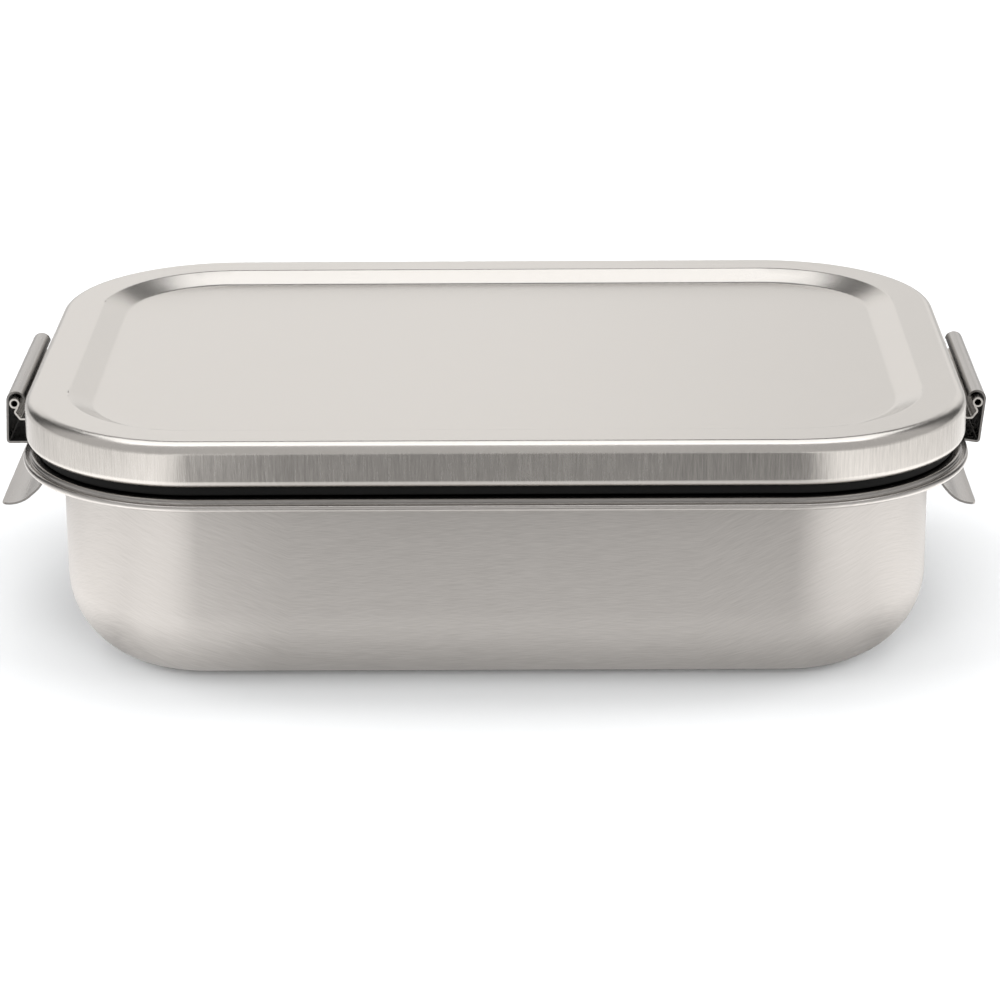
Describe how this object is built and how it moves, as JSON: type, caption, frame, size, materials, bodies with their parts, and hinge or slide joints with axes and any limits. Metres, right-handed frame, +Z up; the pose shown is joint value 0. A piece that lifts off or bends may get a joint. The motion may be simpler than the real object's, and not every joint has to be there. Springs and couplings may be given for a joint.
{
  "type": "lunch box",
  "caption": "Rectangular stainless steel lunch box: deep-drawn tray, lift-off lid with a black rubber seal, and a swinging side clip at each short end.",
  "frame": {"origin": "centre of the tray's flat underside, on the surface it stands on", "axes": "+Z up; +X along the long side, from the left clip to the right clip; +Y towards the back long side"},
  "size_m": [0.2246, 0.1506, 0.0615],
  "materials": {
    "tray_steel": "brushed, grain along the walls",
    "lid_steel": "brushed, soft satin",
    "clip_steel": "brushed, grain across the strip",
    "seal_rubber": "matt black"
  },
  "bodies": {
    "tray": {"tray": "tray_steel"},
    "lid": {"lid": "lid_steel", "seal": "seal_rubber", "left_bracket": "clip_steel", "right_bracket": "clip_steel"},
    "left_clip": {"left_clip": "clip_steel"},
    "right_clip": {"right_clip": "clip_steel"}
  },
  "joints": [
    {"name": "lid_lift", "type": "slide", "parent": "tray", "child": "lid", "axis": [0, 0, 1], "range_m": [0, 0.15]},
    {"name": "left_clip_swing", "type": "hinge", "parent": "lid", "child": "left_clip", "pos_m": [-0.109, 0, 0.0555], "axis": [0, 1, 0], "range_deg": [0, 55]},
    {"name": "right_clip_swing", "type": "hinge", "parent": "lid", "child": "right_clip", "pos_m": [0.109, 0, 0.0549], "axis": [0, -1, 0], "range_deg": [0, 64]}
  ]
}
